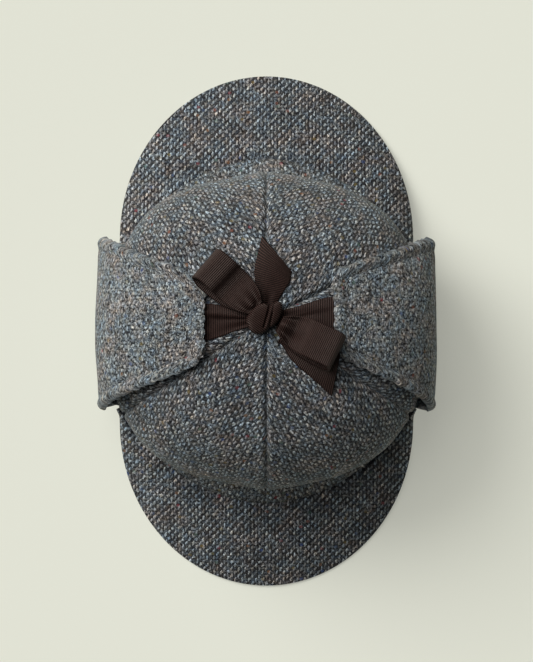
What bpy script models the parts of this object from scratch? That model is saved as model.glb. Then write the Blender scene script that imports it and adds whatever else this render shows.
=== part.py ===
"""A deerstalker hat of coarse tweed, with its ear flaps folded up and tied over the crown in a ribbon bow.

Metres, +Z up. The front peak points to -Y, so the wearer's right ear flap is at -X. The origin is on
the surface that the hat stands on, under the middle of the crown.
"""

import math

import bmesh
import bpy
from mathutils import Vector

# Thickness of each cloth, and the gap kept where two pieces are sewn or lie together
CROWN_WALL = 0.0025
PEAK_THICKNESS = 0.003
FLAP_THICKNESS = 0.003
RIBBON_THICKNESS = 0.001
SEAM_GAP = 0.0003

# Band: the flared strip under the crown, which the peaks and the ear flaps are sewn to
HEM_LENGTH = 0.217
HEM_WIDTH = 0.1952
HEM_HEIGHT = 0.026
BAND_HEIGHT = 0.020
BAND_HOLLOW = 0.0012
HEM_TRIM = 0.001

# Crown: six gores, widest at the rim a little above the band
RIM_LENGTH = 0.1948
RIM_WIDTH = 0.1984
CROWN_HEIGHT = 0.0875
GORES = 6
GORE_SEAM_DIP = 0.0009
GORE_SEAM_WIDTH = 0.004

# Outline of the rim and of the hem in plan, as shares of an ellipse of their length and width
OUTLINE_ROWS = (
    # degrees from the front, rim share, hem share
    (0, 1.000, 1.000),
    (15, 0.989, 0.995),
    (30, 1.014, 1.000),
    (45, 1.040, 1.018),
    (60, 1.028, 1.035),
    (75, 1.014, 1.021),
    (90, 1.000, 1.000),
)

# Side view of the crown, from its seam with the band to its top
CROWN_ROWS = (
    # height share, radius share of the rim
    (0.000, 0.966),
    (0.040, 0.980),
    (0.100, 0.995),
    (0.180, 1.000),
    (0.270, 0.996),
    (0.360, 0.983),
    (0.450, 0.961),
    (0.540, 0.926),
    (0.630, 0.876),
    (0.710, 0.815),
    (0.785, 0.738),
    (0.850, 0.645),
    (0.905, 0.535),
    (0.950, 0.405),
    (0.982, 0.250),
    (1.000, 0.080),
)

# Peaks: a crescent each, cut to an ellipse and tucked under the hem, with the tip pressed flat by its own weight
PEAK_HALF_WIDTH = 0.0915
PEAK_DEPTH = 0.100
PEAK_TIP = 0.1620
PEAK_TUCK = 0.004
PEAK_ARCH = 0.0022
PEAK_PRESS = 0.0015
PEAK_END_DEGREES = 62.5
PEAK_EDGE_ROWS = (
    # degrees from the front, height of the outer edge as a share of the hem's height
    (0, 0.00),
    (22, 0.00),
    (30, 0.06),
    (40, 0.22),
    (50, 0.45),
    (58, 0.68),
    (62.5, 0.80),
)

# Ear flaps: rolled up from the band, and laid over the crown to near its top
FLAP_WIDTH = 0.1068
FLAP_FOLD_REACH = 0.1032
FLAP_FOLD_ROUNDING = 0.0022
FLAP_ROOT_HEIGHT = 0.034
FLAP_ROLL_DROP = 0.003
FLAP_LOW_DEGREES = -9.0
FLAP_PIVOT_HEIGHT = 0.050
FLAP_GAP = 0.0019
FLAP_ROWS = (
    # share of the way from the roll to the tip, width share, how far it has come to lie on the crown
    (0.000, 1.000, 0.00),
    (0.200, 0.985, 0.10),
    (0.340, 0.930, 0.42),
    (0.470, 0.865, 0.72),
    (0.600, 0.775, 0.91),
    (0.750, 0.660, 0.99),
    (0.880, 0.560, 1.00),
    (0.950, 0.490, 1.00),
    (0.985, 0.410, 1.00),
    (1.000, 0.330, 1.00),
)
# How each flap lies: where its tip ends in degrees up from the pivot, and how far its tip and its sewn edge
# are towards the back
RIGHT_FLAP_LIE = (66.2, 0.0062, 0.0044)
LEFT_FLAP_LIE = (64.2, 0.0108, 0.0024)

# Ribbon: two ties from under the tips, and a bow on top
RIBBON_WIDTH = 0.022
RIBBON_LIE = 0.0004
TIE_TUCK = 0.008
GATHERED_WIDTH = 0.009
KNOT_CENTRE = (0.0003, 0.0075)
KNOT_SIZE = (0.0165, 0.0190, 0.0100)
KNOT_SEAT = 0.00072
LOOP_HEIGHT = 0.0095
LOOP_ROWS = (
    # share of the loop's reach, lift share, width share, share of the splay
    (0.00, 0.62, 0.00, 0.0),
    (0.09, 0.70, 0.22, 0.0),
    (0.20, 0.60, 0.52, 0.0),
    (0.32, 0.54, 0.80, 0.0),
    (0.46, 0.64, 0.96, 0.0),
    (0.62, 0.86, 1.00, 0.0),
    (0.78, 1.00, 1.00, 0.0),
    (0.91, 0.92, 1.00, 0.1),
    (0.98, 0.66, 1.00, 0.3),
    (1.00, 0.38, 1.00, 0.5),
    (0.96, 0.12, 1.00, 0.7),
    (0.86, 0.01, 1.00, 0.9),
    (0.68, 0.00, 1.00, 1.0),
    (0.48, 0.00, 0.92, 1.0),
    (0.28, 0.03, 0.66, 1.0),
    (0.12, 0.12, 0.30, 1.0),
    (0.00, 0.22, 0.00, 1.0),
)
# Each loop's direction in degrees from +X, its reach from the knot's centre, and the splay between its plies
RIGHT_LOOP = (136.3, 0.0484, 5.5)
LEFT_LOOP = (-25.2, 0.0460, -4.0)
# Each tail's route in plan from under the knot, and how far its slanting cut shortens one edge
BACK_TAIL_ROUTE = ((0.0005, 0.0135), (0.0022, 0.0250), (0.0040, 0.0360), (0.0062, 0.0455))
BACK_TAIL_CUT = 0.0085
FRONT_TAIL_ROUTE = ((0.0085, -0.0025), (0.0165, -0.0065), (0.0285, -0.0150), (0.0410, -0.0258))
FRONT_TAIL_CUT = -0.0065

# Fineness of the meshes
CROWN_SEGMENTS = 60
BAND_RINGS = 3
PEAK_COLUMNS, PEAK_ROWS_ACROSS = 28, 6
FLAP_COLUMNS, FLAP_ROLL_ROWS, FLAP_LAID_ROWS = 14, 4, 14
RIBBON_COLUMNS, TIE_ROWS, TAIL_ROWS, LOOP_STEPS = 4, 9, 9, 30

CROWN_BOTTOM = HEM_HEIGHT + BAND_HEIGHT
CROWN_TOP = CROWN_BOTTOM + CROWN_HEIGHT

# Linear colours, as a Principled BSDF takes them
CLOTHS = {
    # cloth: colour, roughness
    "tweed": ((0.128, 0.134, 0.136, 1.0), 0.95),
    "ribbon": ((0.042, 0.028, 0.023, 1.0), 0.7),
}


def smooth_step(x):
    x = min(1.0, max(0.0, x))
    return x * x * (3.0 - 2.0 * x)


def mix(a, b, share):
    return a + (b - a) * share


def curve_through(rows, column, x):
    """A smooth curve through one column of a table whose first column rises."""
    last = len(rows) - 1
    i = 0
    while i < last - 1 and x > rows[i + 1][0]:
        i += 1

    def slope(k):
        low, high = max(k - 1, 0), min(k + 1, last)
        return (rows[high][column] - rows[low][column]) / (rows[high][0] - rows[low][0])

    step = rows[i + 1][0] - rows[i][0]
    t = min(1.0, max(0.0, (x - rows[i][0]) / step))
    a, b = rows[i][column], rows[i + 1][column]
    ta, tb = slope(i) * step, slope(i + 1) * step
    return (
        a * (1 + 2 * t) * (1 - t) ** 2
        + ta * t * (1 - t) ** 2
        + b * t * t * (3 - 2 * t)
        + tb * t * t * (t - 1)
    )


def outline_radius(angle, length, width, column):
    """Plan radius at an angle from the front, for a rim or hem of that length and width."""
    ellipse = 1.0 / math.hypot(math.cos(angle) / (length / 2), math.sin(angle) / (width / 2))
    from_front = math.degrees(math.asin(min(1.0, abs(math.sin(angle)))))
    return ellipse * curve_through(OUTLINE_ROWS, column, from_front)


def crown_radius(angle, z):
    """Radius of the outer face of the crown and band at an angle from the front and a height."""
    rim = outline_radius(angle, RIM_LENGTH, RIM_WIDTH, 1)
    if z >= CROWN_BOTTOM:
        return rim * curve_through(CROWN_ROWS, 1, (z - CROWN_BOTTOM) / CROWN_HEIGHT)
    hem = outline_radius(angle, HEM_LENGTH, HEM_WIDTH, 2)
    down = (CROWN_BOTTOM - z) / BAND_HEIGHT
    return mix(rim * CROWN_ROWS[0][1], hem, down) - BAND_HOLLOW * math.sin(math.pi * down)


def inside_crown(x, y, z):
    return z < CROWN_TOP and math.hypot(x, y) < crown_radius(math.atan2(x, y), z)


def first_outside(point_at, near, far):
    """The distance between near and far at which point_at leaves the crown."""
    for _ in range(30):
        middle = (near + far) / 2
        if inside_crown(*point_at(middle)):
            near = middle
        else:
            far = middle
    return far


def crown_height(x, y):
    """Height of the crown's outer face over a point of the plan."""
    return first_outside(lambda z: (x, y, z), CROWN_BOTTOM, CROWN_TOP)


def side_reach(y, z):
    """How far from the middle plane the outer face is, at that y and z."""
    return first_outside(lambda x: (x, y, z), 0.0, RIM_WIDTH)


def gore_seam_dip(angle, radius):
    """Depth of the groove over the nearest gore seam, one of which is at the centre front."""
    gore = 2 * math.pi / GORES
    away = abs((angle + gore / 2) % gore - gore / 2) * radius
    return GORE_SEAM_DIP * math.exp(-((away / GORE_SEAM_WIDTH) ** 2))


def clear_scene():
    for obj in list(bpy.data.objects):
        bpy.data.objects.remove(obj, do_unlink=True)


def new_collection(name):
    collection = bpy.data.collections.new(name)
    bpy.context.scene.collection.children.link(collection)
    return collection


def cloth_material(piece, cloth):
    colour, roughness = CLOTHS[cloth]
    material = bpy.data.materials.new(f"{piece}_{cloth}")
    material.use_nodes = True
    shader = material.node_tree.nodes["Principled BSDF"]
    shader.inputs["Base Color"].default_value = colour
    shader.inputs["Roughness"].default_value = roughness
    shader.inputs["Metallic"].default_value = 0.0
    return material


def object_from(name, bm, cloth, collection):
    mesh = bpy.data.meshes.new(name)
    bmesh.ops.recalc_face_normals(bm, faces=bm.faces)
    bm.to_mesh(mesh)
    bm.free()
    mesh.materials.append(cloth_material(name, cloth))
    mesh.shade_smooth()
    obj = bpy.data.objects.new(name, mesh)
    collection.objects.link(obj)
    return obj


def add_wall(obj, thickness, offset):
    """Turns an open surface into a wall: offset -1 is inwards from it, and 0 is to both sides."""
    wall = obj.modifiers.new("wall", "SOLIDIFY")
    wall.thickness = thickness
    wall.offset = offset
    wall.use_rim = True
    wall.use_even_offset = True


def ring_surface(rings, capped):
    """Rings of equal point count joined bottom to top, by extruding a circle; capped closes the last."""
    bm = bmesh.new()
    made = bmesh.ops.create_circle(bm, cap_ends=False, segments=len(rings[0]), radius=1.0)
    ring = made["verts"]
    edges = list(bm.edges)
    for point, vert in zip(rings[0], ring):
        vert.co = point
    for points in rings[1:]:
        grown = bmesh.ops.extrude_edge_only(bm, edges=edges)["geom"]
        verts = [item for item in grown if isinstance(item, bmesh.types.BMVert)]
        edges = [e for e in grown if isinstance(e, bmesh.types.BMEdge) and all(v in verts for v in e.verts)]
        below = {}
        for vert in verts:
            old = next(e.other_vert(vert) for e in vert.link_edges if e.other_vert(vert) in ring)
            below[old] = vert
        ring = [below[old] for old in ring]
        for point, vert in zip(points, ring):
            vert.co = point
    if capped:
        middle = bm.verts.new(sum((v.co for v in ring), Vector()) / len(ring))
        for edge in edges:
            bm.faces.new((*edge.verts, middle))
    return bm


def sheet_surface(columns, rows, place):
    """A grid primitive whose points go where place puts them, from u across in -1..1 and v along in 0..1."""
    bm = bmesh.new()
    bmesh.ops.create_grid(bm, x_segments=columns, y_segments=rows, size=1.0)
    for vert in bm.verts:
        vert.co = place(vert.co.x, (vert.co.y + 1) / 2)
    return bm


def ring_points(z, dipped):
    points = []
    for k in range(CROWN_SEGMENTS):
        angle = 2 * math.pi * k / CROWN_SEGMENTS
        radius = crown_radius(angle, z)
        if dipped:
            radius -= gore_seam_dip(angle, radius) * smooth_step(radius / (4 * GORE_SEAM_WIDTH))
        points.append(Vector((radius * math.sin(angle), -radius * math.cos(angle), z)))
    return points


def build_crown(collection):
    """Six gores sewn into one dome, open below. Its lower edge is sewn to the band."""
    heights = [CROWN_BOTTOM + SEAM_GAP]
    heights += [CROWN_BOTTOM + CROWN_HEIGHT * row[0] for row in CROWN_ROWS[1:]]
    bm = ring_surface([ring_points(z, True) for z in heights], True)
    crown = object_from("crown", bm, "tweed", collection)
    add_wall(crown, CROWN_WALL, -1)


def build_band(collection, cutter):
    """The strip between the crown and the peaks, flaring out to the hem, which is trimmed level."""
    heights = [HEM_HEIGHT + BAND_HEIGHT * k / BAND_RINGS for k in range(BAND_RINGS + 1)]
    heights[0] -= HEM_TRIM
    bm = ring_surface([ring_points(z, False) for z in heights], False)
    band = object_from("band", bm, "tweed", collection)
    add_wall(band, CROWN_WALL, -1)
    cut_away(band, cutter)


def peak_reach(angle):
    """Plan radius of a peak's outer edge at an angle from the front: half an ellipse, then straight to the hem."""
    centre = PEAK_TIP - PEAK_DEPTH
    beside = PEAK_HALF_WIDTH / max(math.sin(angle), 1e-9)
    if beside * math.cos(angle) < centre:
        return beside
    turned = math.cos(angle) ** 2 / PEAK_DEPTH**2 + math.sin(angle) ** 2 / PEAK_HALF_WIDTH**2
    shifted = centre * math.cos(angle) / PEAK_DEPTH**2
    return (shifted + math.sqrt(shifted**2 - turned * ((centre / PEAK_DEPTH) ** 2 - 1))) / turned


def peak_place(front):
    """Point of a peak's middle layer: u runs round the head, v out from under the hem to the edge."""

    def place(u, v):
        degrees = abs(u) * PEAK_END_DEGREES
        angle = math.radians(degrees)
        hem = outline_radius(angle, HEM_LENGTH, HEM_WIDTH, 2)
        tucked = hem - PEAK_TUCK
        seam_z = HEM_HEIGHT - SEAM_GAP - PEAK_THICKNESS / 2
        edge_lift = PEAK_THICKNESS / 2 - PEAK_PRESS
        edge_z = edge_lift + curve_through(PEAK_EDGE_ROWS, 1, degrees) * (seam_z - edge_lift)
        tuck_share = 1.0 / PEAK_ROWS_ACROSS
        if v <= tuck_share:
            radius = mix(tucked, hem + CROWN_WALL / 2, v / tuck_share)
            z = seam_z
        else:
            out = (v - tuck_share) / (1 - tuck_share)
            radius = mix(hem + CROWN_WALL / 2, max(peak_reach(angle), hem + CROWN_WALL), out)
            z = mix(seam_z, edge_z, out) + PEAK_ARCH * math.sin(math.pi * out) * math.cos(angle)
        side = math.copysign(1.0, u)
        x, y = side * radius * math.sin(angle), -radius * math.cos(angle)
        return Vector((x, y, z)) if front else Vector((-x, -y, z))

    return place


def cut_away(obj, cutter):
    cut = obj.modifiers.new("cut flat", "BOOLEAN")
    cut.operation = "DIFFERENCE"
    cut.solver = "EXACT"
    cut.object = cutter


def build_cutter(name, top, collection):
    """A slab that takes off what reaches below a height."""
    depth = 0.02
    bpy.ops.mesh.primitive_cube_add(size=1.0, location=(0, 0, top - depth / 2))
    cutter = bpy.context.object
    cutter.name = name
    cutter.scale = (3 * PEAK_TIP, 3 * PEAK_TIP, depth)
    bpy.ops.object.transform_apply(location=False, rotation=False, scale=True)
    cutter.hide_render = True
    cutter.display_type = "WIRE"
    for owner in list(cutter.users_collection):
        owner.objects.unlink(cutter)
    collection.objects.link(cutter)
    return cutter


def build_peak(name, front, collection, cutter):
    bm = sheet_surface(PEAK_COLUMNS, PEAK_ROWS_ACROSS, peak_place(front))
    peak = object_from(name, bm, "tweed", collection)
    add_wall(peak, PEAK_THICKNESS, 0)
    cut_away(peak, cutter)


def flap_place(side, tip_degrees, tip_shift, root_shift):
    """Point of a flap's middle layer: u runs front to back, v from the sewn edge, round the roll, to the tip."""
    roll_share = FLAP_ROLL_ROWS / (FLAP_ROLL_ROWS + FLAP_LAID_ROWS)

    def fold_x(u):
        return FLAP_FOLD_REACH - FLAP_FOLD_ROUNDING * abs(u) ** 12

    def laid(u, along):
        half_width = FLAP_WIDTH / 2 * curve_through(FLAP_ROWS, 1, along)
        y = mix(root_shift, tip_shift, along) + u * half_width
        lift = math.radians(mix(FLAP_LOW_DEGREES, tip_degrees, along))
        out = (math.cos(lift), math.sin(lift))
        reach = first_outside(
            lambda d: (d * out[0], y, FLAP_PIVOT_HEIGHT + d * out[1]), 0.0, 2 * RIM_WIDTH
        )
        lies_on = reach + FLAP_GAP + FLAP_THICKNESS / 2
        stands_off = max(fold_x(u) / out[0], lies_on)
        distance = mix(stands_off, lies_on, curve_through(FLAP_ROWS, 2, along))
        return Vector((side * distance * out[0], y, FLAP_PIVOT_HEIGHT + distance * out[1]))

    def place(u, v):
        if v >= roll_share:
            return laid(u, (v - roll_share) / (1 - roll_share))
        turn = v / roll_share
        fold = laid(u, 0.0)
        root_x = side_reach(fold.y, FLAP_ROOT_HEIGHT) + SEAM_GAP + FLAP_THICKNESS / 2
        x = mix(root_x, abs(fold.x), (1 - math.cos(math.pi * turn)) / 2)
        z = mix(FLAP_ROOT_HEIGHT, fold.z, turn) - FLAP_ROLL_DROP * math.sin(math.pi * turn)
        return Vector((side * x, fold.y, z))

    return place


def build_flap(name, side, lie, collection):
    rows = FLAP_ROLL_ROWS + FLAP_LAID_ROWS
    bm = sheet_surface(FLAP_COLUMNS, rows, flap_place(side, *lie))
    flap = object_from(name, bm, "tweed", collection)
    add_wall(flap, FLAP_THICKNESS, 0)


def flap_tip(side, lie):
    """Middle of the edge of a flap's tip."""
    return flap_place(side, *lie)(0.0, 1.0)


def on_crown(x, y):
    """Height of a ribbon's middle layer where it lies on the crown."""
    return crown_height(x, y) + RIBBON_LIE + RIBBON_THICKNESS / 2


def build_tie(name, side, lie, collection):
    """The ribbon from its seam under a flap's tip to the knot, drawn together as it goes."""
    tip_at = flap_tip(side, lie)
    start = Vector((tip_at.x + side * TIE_TUCK, tip_at.y - RIBBON_WIDTH / 16))
    end = Vector((KNOT_CENTRE[0] + side * KNOT_SIZE[0] * 0.3, KNOT_CENTRE[1]))

    def place(u, v):
        half_width = mix(RIBBON_WIDTH, GATHERED_WIDTH, smooth_step((v - 0.15) / 0.85)) / 2
        x = mix(start.x, end.x, v)
        y = mix(start.y, end.y, smooth_step(v)) + u * half_width
        return Vector((x, y, on_crown(x, y)))

    tie = object_from(name, sheet_surface(RIBBON_COLUMNS, TIE_ROWS, place), "ribbon", collection)
    add_wall(tie, RIBBON_THICKNESS, 0)


def build_tail(name, route, cut, collection):
    """A free end of the ribbon, lying on the crown and cut on the slant."""
    spots = [Vector(spot) for spot in route]
    rows = [(k / (len(spots) - 1), spot.x, spot.y) for k, spot in enumerate(spots)]

    def place(u, v):
        here = Vector((curve_through(rows, 1, v), curve_through(rows, 2, v)))
        ahead = Vector((curve_through(rows, 1, min(v + 0.02, 1)), curve_through(rows, 2, min(v + 0.02, 1))))
        behind = Vector((curve_through(rows, 1, max(v - 0.02, 0)), curve_through(rows, 2, max(v - 0.02, 0))))
        along = (ahead - behind).normalized()
        across = Vector((along.y, -along.x))
        half_width = mix(GATHERED_WIDTH, RIBBON_WIDTH, smooth_step(v / 0.6)) / 2
        spot = here + across * u * half_width - along * u * cut * v**3
        return Vector((spot.x, spot.y, on_crown(spot.x, spot.y)))

    tail = object_from(name, sheet_surface(RIBBON_COLUMNS, TAIL_ROWS, place), "ribbon", collection)
    add_wall(tail, RIBBON_THICKNESS, 0)


def knot_base():
    """Height of the underside of the knot, which sits between the ends of the ties."""
    return CROWN_TOP + KNOT_SEAT


def build_loop(name, direction_degrees, reach, splay_degrees, collection):
    """A loop of the bow: out from the knot on top, round, and back underneath."""
    direction = math.radians(direction_degrees)
    centre_z = knot_base() + KNOT_SIZE[2] / 2
    base_z = knot_base() + RIBBON_THICKNESS / 2
    rows = [(k / (len(LOOP_ROWS) - 1), *row) for k, row in enumerate(LOOP_ROWS)]

    def knot_edge(z):
        flat = math.hypot(math.cos(direction) / (KNOT_SIZE[0] / 2), math.sin(direction) / (KNOT_SIZE[1] / 2))
        level = min(0.95, abs(z - centre_z) / (KNOT_SIZE[2] / 2))
        return math.sqrt(1 - level**2) / flat + SEAM_GAP

    def place(u, v):
        share, lift, width, splay = (curve_through(rows, k, v) for k in range(1, 5))
        z = base_z + lift * LOOP_HEIGHT
        nearest = knot_edge(z)
        away = mix(nearest, reach, share)
        turned = direction + math.radians(splay_degrees) * splay * smooth_step(share * 2)
        half_width = mix(GATHERED_WIDTH, RIBBON_WIDTH, min(1.0, max(0.0, width))) / 2
        x = KNOT_CENTRE[0] + away * math.cos(turned) - u * half_width * math.sin(turned)
        y = KNOT_CENTRE[1] + away * math.sin(turned) + u * half_width * math.cos(turned)
        return Vector((x, y, z))

    loop = object_from(name, sheet_surface(RIBBON_COLUMNS, LOOP_STEPS, place), "ribbon", collection)
    add_wall(loop, RIBBON_THICKNESS, 0)


def build_knot(collection):
    """The drawn-tight middle of the bow."""
    bm = bmesh.new()
    bmesh.ops.create_uvsphere(bm, u_segments=16, v_segments=10, radius=0.5)
    for vert in bm.verts:
        vert.co = Vector(a * b for a, b in zip(vert.co, KNOT_SIZE))
    knot = object_from("knot", bm, "ribbon", collection)
    knot.location = (*KNOT_CENTRE, knot_base() + KNOT_SIZE[2] / 2)


def main():
    clear_scene()
    hat = new_collection("deerstalker_hat")
    cutters = new_collection("cutters")
    build_crown(hat)
    build_band(hat, build_cutter("hem_cutter", HEM_HEIGHT, cutters))
    floor_cutter = build_cutter("floor_cutter", 0.0, cutters)
    build_peak("front_peak", True, hat, floor_cutter)
    build_peak("back_peak", False, hat, floor_cutter)
    build_flap("right_ear_flap", -1, RIGHT_FLAP_LIE, hat)
    build_flap("left_ear_flap", 1, LEFT_FLAP_LIE, hat)
    build_tie("right_tie", -1, RIGHT_FLAP_LIE, hat)
    build_tie("left_tie", 1, LEFT_FLAP_LIE, hat)
    build_loop("right_loop", *RIGHT_LOOP, hat)
    build_loop("left_loop", *LEFT_LOOP, hat)
    build_tail("back_tail", BACK_TAIL_ROUTE, BACK_TAIL_CUT, hat)
    build_tail("front_tail", FRONT_TAIL_ROUTE, FRONT_TAIL_CUT, hat)
    build_knot(hat)


main()
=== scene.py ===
"""Looks for the deerstalker hat: coarse tweed, and a grosgrain bow."""

import math
from functools import partial

import bpy
import numpy as np
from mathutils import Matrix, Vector


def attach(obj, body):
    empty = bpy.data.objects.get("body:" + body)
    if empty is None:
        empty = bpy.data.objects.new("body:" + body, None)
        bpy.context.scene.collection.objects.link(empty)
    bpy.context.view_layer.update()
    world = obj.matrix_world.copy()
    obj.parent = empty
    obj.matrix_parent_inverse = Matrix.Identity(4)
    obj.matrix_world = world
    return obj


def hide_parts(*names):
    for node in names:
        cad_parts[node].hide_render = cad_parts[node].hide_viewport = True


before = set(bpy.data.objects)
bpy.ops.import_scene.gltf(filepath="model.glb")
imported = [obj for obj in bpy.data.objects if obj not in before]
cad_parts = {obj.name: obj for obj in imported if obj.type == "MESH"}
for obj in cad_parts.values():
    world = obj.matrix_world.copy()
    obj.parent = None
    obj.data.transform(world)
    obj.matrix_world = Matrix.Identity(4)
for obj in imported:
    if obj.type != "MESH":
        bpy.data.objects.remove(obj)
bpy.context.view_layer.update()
bpy.ops.object.select_all(action="DESELECT")

# The view, the table top and the light. The photo looks straight down from about 1.6 m on a pale table top,
# in soft light from a wide window at the upper left. Two broad suns stand for that window, and past the table
# the camera sees a pale wall, which lights nothing.
CAMERA_HEIGHT = 1.6
VIEW_HEIGHT = 0.42368
SENSOR_HEIGHT = 36.0
TABLE_SIZE = 6.0

camera = bpy.data.objects.new("camera", bpy.data.cameras.new("camera"))
bpy.context.scene.collection.objects.link(camera)
camera.location = (0.0, 0.0, CAMERA_HEIGHT)
camera.data.sensor_fit = "VERTICAL"
camera.data.sensor_height = SENSOR_HEIGHT
camera.data.lens = SENSOR_HEIGHT * CAMERA_HEIGHT / VIEW_HEIGHT
camera.data.clip_end = 50.0
bpy.context.scene.camera = camera
bpy.context.scene.view_settings.view_transform = "Standard"


def add_node(tree, kind, inputs=None, **settings):
    """A shader node with its settings, whose inputs are given as values or as the outputs that feed them."""
    made = tree.nodes.new(kind)
    for name, value in settings.items():
        setattr(made, name, value)
    for name, value in (inputs or {}).items():
        if isinstance(value, bpy.types.NodeSocket):
            tree.links.new(value, made.inputs[name])
        else:
            made.inputs[name].default_value = value
    return made


def plain_material(name):
    """A new material, its node tree and its shader."""
    material = bpy.data.materials.new(name)
    material.use_nodes = True
    return material, material.node_tree, material.node_tree.nodes["Principled BSDF"]


bpy.ops.mesh.primitive_plane_add(size=TABLE_SIZE, location=(0.0, 0.0, 0.0))
table_top = bpy.context.object
table_top.name = "table_top"
pale, tree, shader = plain_material("pale_table_top")
shader.inputs["Base Color"].default_value = (0.520, 0.530, 0.466, 1.0)
# The table top glows a little: painted light that lifts the shadows on it, and lights the hat a little from
# below
shader.inputs["Emission Color"].default_value = (1.0, 1.01, 0.885, 1.0)
shader.inputs["Emission Strength"].default_value = 0.308
shader.inputs["Roughness"].default_value = 0.9
shader.inputs["Specular IOR Level"].default_value = 0.1
table_top.data.materials.append(pale)

for name, energy, angle, towards in (
    ("window_high", 1.25, 48.0, (0.76, -0.68, -1.95)),
    ("window_low", 2.50, 42.0, (0.78, -0.68, -0.74)),
):
    window_light = bpy.data.objects.new(name, bpy.data.lights.new(name, "SUN"))
    window_light.data.energy = energy
    window_light.data.angle = math.radians(angle)
    window_light.data.color = (1.0, 0.99, 0.965)
    window_light.rotation_euler = Vector(towards).to_track_quat("-Z", "Y").to_euler()
    bpy.context.scene.collection.objects.link(window_light)
world = bpy.data.worlds.new("studio")
world.use_nodes = True
room = world.node_tree.nodes["Background"]
room.inputs["Color"].default_value = (0.90, 0.95, 1.0, 1.0)
room.inputs["Strength"].default_value = 0.04
wall_colour = {"Color": (0.62, 0.63, 0.56, 1.0), "Strength": 1.0}
wall_seen = add_node(world.node_tree, "ShaderNodeBackground", wall_colour)
light_path = add_node(world.node_tree, "ShaderNodeLightPath")
either = add_node(world.node_tree, "ShaderNodeMixShader", {0: light_path.outputs["Is Camera Ray"]})
world.node_tree.links.new(room.outputs[0], either.inputs[1])
world.node_tree.links.new(wall_seen.outputs[0], either.inputs[2])
world.node_tree.links.new(either.outputs[0], world.node_tree.nodes["World Output"].inputs["Surface"])
bpy.context.scene.world = world


# Crown: six gores of tweed sewn edge to edge into a dome. The seams meet under the bow, a little behind the
# middle, and each gore's cloth is cut along its own middle line.
CROWN_BOTTOM = 0.0463
CROWN_HEIGHT = 0.0872
CROWN_WALL = 0.0025
RIM_LENGTH, RIM_WIDTH = 0.1948, 0.1984
WIDEST = 0.18
SEAMS_MEET = (0.0003, 0.0075)
GORES, GORE = 6, math.radians(60.0)
SEAM_DEPTH, SEAM_HALF_WIDTH = 0.0017, 0.0011
RIDGE_HEIGHT, RIDGE_AWAY, RIDGE_HALF_WIDTH = 0.0005, 0.0035, 0.0022
PUFF_HEIGHT, LUMP_HEIGHT = 0.0008, 0.0006
VALLEY_DEPTH, VALLEY_AT, VALLEY_HALF_WIDTH = 0.0032, 0.935, 0.022
VALLEY_DEGREES, VALLEY_FADES = (-78.0, -14.0), (14.0, 16.0)
CUT_APART = (0.31, 0.17)
OUTLINE_ROWS = (
    # degrees from the front, rim share, hem share
    (0, 1.000, 1.000),
    (15, 0.989, 0.995),
    (30, 1.014, 1.000),
    (45, 1.040, 1.018),
    (60, 1.028, 1.035),
    (75, 1.014, 1.021),
    (90, 1.000, 1.000),
)
CROWN_ROWS = (
    # height share, radius share of the rim
    (0.000, 0.966),
    (0.040, 0.980),
    (0.100, 0.995),
    (0.180, 1.000),
    (0.270, 0.996),
    (0.360, 0.983),
    (0.450, 0.961),
    (0.540, 0.926),
    (0.630, 0.876),
    (0.710, 0.815),
    (0.785, 0.738),
    (0.850, 0.645),
    (0.905, 0.535),
    (0.950, 0.405),
    (0.982, 0.250),
    (1.000, 0.000),
)


def mix(a, b, share):
    return a + (b - a) * share


def smooth_step(x):
    x = min(1.0, max(0.0, x))
    return x * x * (3.0 - 2.0 * x)


def bell(x, half_width):
    """1 where x is 0, and near 0 past twice the half width."""
    return math.exp(-((x / half_width) ** 2))


def curve_through(rows, column, x):
    """A smooth curve through one column of a table whose first column rises."""
    last = len(rows) - 1
    i = 0
    while i < last - 1 and x > rows[i + 1][0]:
        i += 1

    def slope(k):
        low, high = max(k - 1, 0), min(k + 1, last)
        return (rows[high][column] - rows[low][column]) / (rows[high][0] - rows[low][0])

    step = rows[i + 1][0] - rows[i][0]
    t = min(1.0, max(0.0, (x - rows[i][0]) / step))
    start, end = rows[i][column], rows[i + 1][column]
    leaving, arriving = slope(i) * step, slope(i + 1) * step
    near_start = (start * (1 + 2 * t) + leaving * t) * (1 - t) ** 2
    near_end = (end * (3 - 2 * t) + arriving * (t - 1)) * t * t
    return near_start + near_end


def outline_radius(angle, length, width, column):
    """Plan radius at an angle from the front, of a rim or hem of that length and width."""
    ellipse = 1.0 / math.hypot(math.cos(angle) / (length / 2), math.sin(angle) / (width / 2))
    from_front = math.degrees(math.asin(min(1.0, abs(math.sin(angle)))))
    return ellipse * curve_through(OUTLINE_ROWS, column, from_front)


def rim_radius(angle):
    return outline_radius(angle, RIM_LENGTH, RIM_WIDTH, 1)


def crown_z(x, y):
    """Height of the crown's outer face over a point of the plan."""
    share = math.hypot(x, y) / rim_radius(math.atan2(x, -y))
    low, high = WIDEST, 1.0
    for _ in range(26):
        middle = (low + high) / 2
        if curve_through(CROWN_ROWS, 1, middle) > share:
            low = middle
        else:
            high = middle
    return CROWN_BOTTOM + CROWN_HEIGHT * low


def cloth_grid(name, across, along, place):
    """A grid shaped by place, which takes shares 0 to 1 across and along the cloth."""
    bpy.ops.object.select_all(action="DESELECT")
    bpy.ops.mesh.primitive_grid_add(x_subdivisions=across, y_subdivisions=along, size=1.0)
    piece = bpy.context.object
    piece.name = name
    piece.data.uv_layers.active.name = "cloth"
    for vert in piece.data.vertices:
        vert.co = place(vert.co.x + 0.5, vert.co.y + 0.5)
    return piece


def run_lengths(points, axis):
    """Distance run along one axis of a grid of points."""
    steps = np.linalg.norm(np.diff(points, axis=axis), axis=2)
    start = np.zeros_like(np.take(steps, [0], axis=axis))
    return np.concatenate([start, np.cumsum(steps, axis=axis)], axis=axis)


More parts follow.
